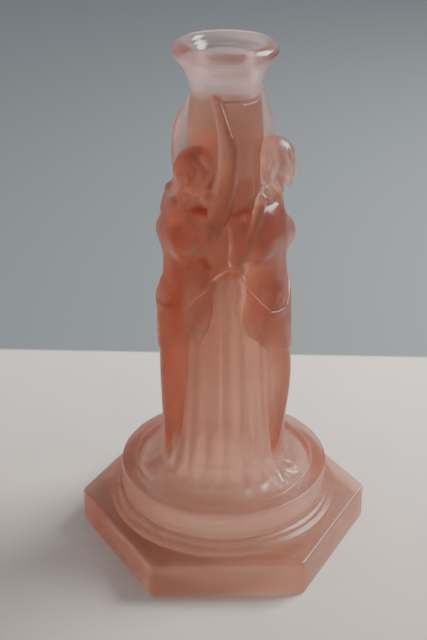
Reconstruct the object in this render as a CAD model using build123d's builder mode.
from build123d import *
import os
from math import cos, radians, sin

# Figural glass candlestick, about 22 cm tall, one pressing of satin glass.
# Three draped maidens stand round a hollow stem on a stepped plinth with a
# six-sided foot. Each raises her left arm to the candle socket and folds the
# right one to her neck. Millimetres. The origin is the centre of the underside,
# +Z is up and the front is -Y. An azimuth is counted from the front,
# anticlockwise seen from above, so +90 is the +X side.

# ---------------------------------------------------------------- dimensions
HEIGHT = 220.0
TURNS = 3                     # the relief repeats three times round the stem
STEP_ANGLE = 360.0 / TURNS

FOOT_RADIUS = 63.6            # to the corners of the hexagon
FOOT_HEIGHT = 16.6
FOOT_BEVEL = 1.5

STEP_RADIUS = 50.3
STEP_TOP_RADIUS = 47.7
STEP_TOP = 20.1
BEAD_TOP = 21.5               # small ledge at the foot of the drum

DRUM_RADIUS = 45.2
DRUM_TOP = 33.4
DRUM_EDGE = 1.6               # rounding of the drum's upper edge

CAVITY_FOOT_RADIUS = 42.0     # the hollow that the plunger leaves underneath
CAVITY_DRUM_RADIUS = 38.0
CAVITY_TOP = 128.0
CAVITY_NECK_RADIUS = 11.5

CUP_BASE = 196.0
CUP_BASE_RADIUS = 14.0
CUP_WAIST = 201.0
CUP_WAIST_RADIUS = 13.5
CUP_TOP_RADIUS = 16.0
BORE_RADIUS = 11.0            # a 22 mm candle
BORE_FLOOR = 199.5
RIM_BASE = 211.5
RIM_MOUTH = 214.8             # where the bore opens into the flared mouth
RIM_RADIUS = 20.2
MOUTH_RADIUS = 15.6
BEAD_RADIUS = 4.0             # the rolled lip of the socket

LEG_AZIMUTH = 57.0            # first maiden, at the front right
LEAN = 25.0                   # how far her head leans round the stem from her feet
HEAD_AZIMUTH = LEG_AZIMUTH + LEAN
HEAD_RADIUS = 20.7            # distance of her head from the stem's axis
DRAPE_AZIMUTH = LEG_AZIMUTH - STEP_ANGLE / 2
DRAPE_WIDTH = 112.0           # degrees round the stem

# ------------------------------------------------------------------- helpers


def point(azimuth, radius, z):
    """A place given by its azimuth, its distance from the axis and its height."""
    angle = radians(azimuth - 90)
    return Vector(radius * cos(angle), radius * sin(angle), z)


def upright_plane(azimuth):
    """An upright plane through the axis: its own X is the radius and its Y is the height."""
    return Plane(origin=(0, 0, 0), x_dir=point(azimuth, 1, 0), z_dir=point(azimuth - 90, 1, 0))


def limb(*stations):
    """Tapering rounds joined by balls; each station is (azimuth, radius, z, half thickness)."""
    with BuildPart() as body:
        for station in stations:
            with Locations(point(*station[:3])):
                Sphere(station[3])
        for start, end in zip(stations, stations[1:]):
            along = point(*end[:3]) - point(*start[:3])
            with Locations(Plane(origin=point(*start[:3]), z_dir=along)):
                Cone(start[3], end[3], along.length, align=(Align.CENTER, Align.CENTER, Align.MIN))
    return body.part


def fused(*solids):
    """Overlapping solids as one."""
    with BuildPart() as whole:
        for solid in solids:
            add(solid)
    return whole.part


def without(solid, *neighbours):
    """The solid with its neighbours cut away, so that they meet face to face."""
    with BuildPart() as trimmed:
        add(solid)
        for neighbour in neighbours:
            add(neighbour, mode=Mode.SUBTRACT)
    return trimmed.part


def turned(solid, angle):
    """The same solid further round the stem."""
    with BuildPart() as copy:
        with Locations(Rotation(0, 0, angle)):
            add(solid)
    return copy.part


def write(solid, name):
    """Label a finished piece and write its STEP file."""
    solid.label = name
    export_step(solid, f"parts/{name}.step")


os.makedirs("parts", exist_ok=True)

# ---------------------------------------------------- the hollow underneath
with BuildPart() as cavity:
    with BuildSketch(Plane.XZ):
        with BuildLine():
            flank = Line((CAVITY_FOOT_RADIUS, 0), (CAVITY_DRUM_RADIUS, BEAD_TOP))
            shoulder = Polyline(
                flank @ 1, (33.5, 30.0), (22.5, 41.0), (15.5, 60.0),
                (CAVITY_NECK_RADIUS, CAVITY_TOP - CAVITY_NECK_RADIUS),
            )
            crown = JernArc(shoulder @ 1, tangent=(0, 1), radius=CAVITY_NECK_RADIUS, arc_size=90)
            Polyline(crown @ 1, (0, 0), flank @ 0)
        make_face()
    revolve(axis=Axis.Z)

# ------------------------------------------------------------ foot and plinth
with BuildPart() as hex_foot:
    with BuildSketch():
        RegularPolygon(radius=FOOT_RADIUS, side_count=6)
    extrude(amount=FOOT_HEIGHT)
    chamfer(hex_foot.faces().sort_by(Axis.Z)[-1].edges(), length=FOOT_BEVEL)
    add(cavity.part, mode=Mode.SUBTRACT)
write(hex_foot.part, "hex_foot")

with BuildPart() as lower_step:
    with BuildSketch(Plane.XZ):
        with BuildLine():
            base = Line((0, FOOT_HEIGHT), (STEP_RADIUS, FOOT_HEIGHT))
            riser = Line(base @ 1, (STEP_TOP_RADIUS, STEP_TOP))
            Polyline(riser @ 1, (DRUM_RADIUS, BEAD_TOP), (0, BEAD_TOP), base @ 0)
        make_face()
    revolve(axis=Axis.Z)
    add(cavity.part, mode=Mode.SUBTRACT)
write(lower_step.part, "lower_step")

with BuildPart() as plinth_drum:
    with BuildSketch(Plane.XY.offset(BEAD_TOP)):
        Circle(DRUM_RADIUS)
    extrude(amount=DRUM_TOP - BEAD_TOP)
    fillet(plinth_drum.edges().group_by(Axis.Z)[-1], radius=DRUM_EDGE)
    add(cavity.part, mode=Mode.SUBTRACT)
write(plinth_drum.part, "plinth_drum")

# ----------------------------------------------------------------- the stem
with BuildPart() as stem_blank:
    with BuildSketch(Plane.XZ):
        Polygon(
            (0, DRUM_TOP), (30.0, DRUM_TOP), (23.5, 46.0), (20.5, 65.0), (19.0, 95.0), (17.5, 130.0),
            (16.8, 172.0), (CUP_BASE_RADIUS, CUP_BASE), (0, CUP_BASE),
            align=None,
        )
    revolve(axis=Axis.Z)

with BuildPart() as stem_core:
    add(stem_blank.part)
    add(cavity.part, mode=Mode.SUBTRACT)
write(stem_core.part, "stem_core")

# ------------------------------------------------------------- candle socket
with BuildPart() as candle_cup:
    with BuildSketch(Plane.XZ):
        with BuildLine():
            wall = ThreePointArc(
                (CUP_BASE_RADIUS, CUP_BASE), (CUP_WAIST_RADIUS, CUP_WAIST), (CUP_TOP_RADIUS, RIM_BASE)
            )
            Polyline(
                wall @ 1, (BORE_RADIUS, RIM_BASE), (BORE_RADIUS, BORE_FLOOR), (0, BORE_FLOOR),
                (0, CUP_BASE), wall @ 0,
            )
        make_face()
    revolve(axis=Axis.Z)
write(candle_cup.part, "candle_cup")

with BuildPart() as socket_rim:
    lip_centre = RIM_RADIUS - BEAD_RADIUS
    with BuildSketch(Plane.XZ):
        with BuildLine():
            mouth = Line((BORE_RADIUS, RIM_MOUTH), (MOUTH_RADIUS, HEIGHT))
            roll = ThreePointArc(
                (lip_centre, HEIGHT), (RIM_RADIUS, HEIGHT - BEAD_RADIUS),
                (lip_centre, HEIGHT - 2 * BEAD_RADIUS),
            )
            Line(mouth @ 1, roll @ 0)
            Polyline(
                roll @ 1, (CUP_TOP_RADIUS, RIM_BASE), (BORE_RADIUS, RIM_BASE), mouth @ 0
            )
        make_face()
    revolve(axis=Axis.Z)
write(socket_rim.part, "socket_rim")

# ------------------------------------------------- the first maiden's pieces
stem = stem_blank.part
socket = candle_cup.part
plinth = plinth_drum.part

with BuildPart() as legs:
    add(limb(
        (LEG_AZIMUTH - 1, 25.0, 36.0, 3.8),
        (LEG_AZIMUTH + 2, 25.3, 66.0, 5.2),
        (LEG_AZIMUTH + 4, 26.3, 88.0, 6.0),
        (LEG_AZIMUTH - 2, 20.5, 106.0, 8.6),
    ))
    split(bisect_by=Plane.XY.offset(DRUM_TOP), keep=Keep.TOP)
    add(stem, mode=Mode.SUBTRACT)

hips = limb(
    (LEG_AZIMUTH - 14, 19.2, 112.0, 8.6),
    (LEG_AZIMUTH + 10, 19.3, 112.5, 9.0),
)
gather = limb(
    (LEG_AZIMUTH + 34, 20.8, 128.0, 5.0),
    (LEG_AZIMUTH + 34, 21.3, 100.0, 6.0),
)
waist = limb(
    (LEG_AZIMUTH - 2, 18.5, 114.0, 9.6),
    (LEG_AZIMUTH + 2, 18.6, 129.0, 9.0),
    (LEG_AZIMUTH - 2, 19.0, 145.0, 10.0),
)
bust = limb(
    (LEG_AZIMUTH - 24, 22.0, 145.0, 5.6),
    (LEG_AZIMUTH + 19, 24.2, 144.5, 5.7),
)
shoulders = limb(
    (LEG_AZIMUTH - 44, 19.6, 153.0, 4.6),
    (LEG_AZIMUTH + 4, 18.6, 154.0, 5.0),
    (LEG_AZIMUTH + 44, 19.6, 153.0, 4.6),
)
torso = without(fused(hips, gather, waist, bust, shoulders), stem, legs.part)

head = without(limb(
    (LEG_AZIMUTH + 10, 19.2, 157.0, 4.2),
    (HEAD_AZIMUTH - 2, 21.5, 167.0, 4.9),
    (HEAD_AZIMUTH, HEAD_RADIUS, 175.5, 7.2),
), stem, torso)

locks = [
    limb(
        (HEAD_AZIMUTH + side * 20, 18.5, 177.0, 3.0),
        (HEAD_AZIMUTH + side * 21, 19.0, 169.0, 2.9),
        (HEAD_AZIMUTH + side * 19, 19.0, 164.0, 2.7),
    )
    for side in (-1, 1)
]
hair = without(fused(limb(
    (HEAD_AZIMUTH, 18.6, 173.5, 8.2),
    (HEAD_AZIMUTH, 19.6, 176.8, 8.1),
), *locks), stem, torso, head)

trunk = (stem, socket, torso, head, hair)
right_arm = without(limb(
    (LEG_AZIMUTH - 42, 20.0, 154.0, 4.2),
    (LEG_AZIMUTH - 46, 20.8, 138.5, 3.5),
    (LEG_AZIMUTH - 28, 24.6, 156.0, 2.9),
    (LEG_AZIMUTH - 20, 23.2, 165.0, 2.7),
), *trunk)
left_arm = without(limb(
    (LEG_AZIMUTH + 44, 20.0, 150.0, 4.2),
    (LEG_AZIMUTH + 59, 19.8, 163.0, 4.1),
    (LEG_AZIMUTH + 66, 19.6, 176.0, 3.9),
    (LEG_AZIMUTH + 65, 18.6, 186.0, 3.5),
    (LEG_AZIMUTH + 56, 16.6, 194.0, 2.8),
    (LEG_AZIMUTH + 47, 14.8, 198.0, 2.3),
), *trunk, turned(right_arm, STEP_ANGLE))

with BuildPart() as feet:
    for side in (-1, 1):
        add(limb(
            (LEG_AZIMUTH + side * 8, 26.5, 37.0, 3.2),
            (LEG_AZIMUTH + side * 11, 33.5, 35.2, 1.9),
        ))
    for solid in (stem, legs.part, plinth):
        add(solid, mode=Mode.SUBTRACT)

maiden = {
    "feet": feet.part,
    "legs": legs.part,
    "torso": torso,
    "head": head,
    "hair": hair,
    "right_arm": right_arm,
    "left_arm": left_arm,
}

# ------------------------------------------- the drapery between two maidens
with BuildPart() as drape:
    with BuildSketch(upright_plane(DRAPE_AZIMUTH - DRAPE_WIDTH / 2)):
        Polygon(
            (16.0, DRUM_TOP), (34.5, DRUM_TOP), (29.0, 39.0), (26.3, 50.0), (25.8, 75.0), (24.5, 104.0),
            (21.0, 118.0), (18.9, 127.0), (18.2, 133.0), (14.0, 133.0),
            align=None,
        )
    revolve(axis=Axis.Z, revolution_arc=DRAPE_WIDTH)
    add(stem, mode=Mode.SUBTRACT)
    for solid in (legs.part, torso, feet.part):
        add(solid, mode=Mode.SUBTRACT)
        add(turned(solid, -STEP_ANGLE), mode=Mode.SUBTRACT)

# -------------------------------------------------- three of each, and write
for index, (maiden_side, drape_side) in enumerate(
    (("right", "front"), ("rear", "rear_right"), ("left", "rear_left"))
):
    angle = index * STEP_ANGLE
    for piece_name, piece in maiden.items():
        write(turned(piece, angle), f"{maiden_side}_maiden_{piece_name}")
    write(turned(drape.part, angle), f"{drape_side}_drape")
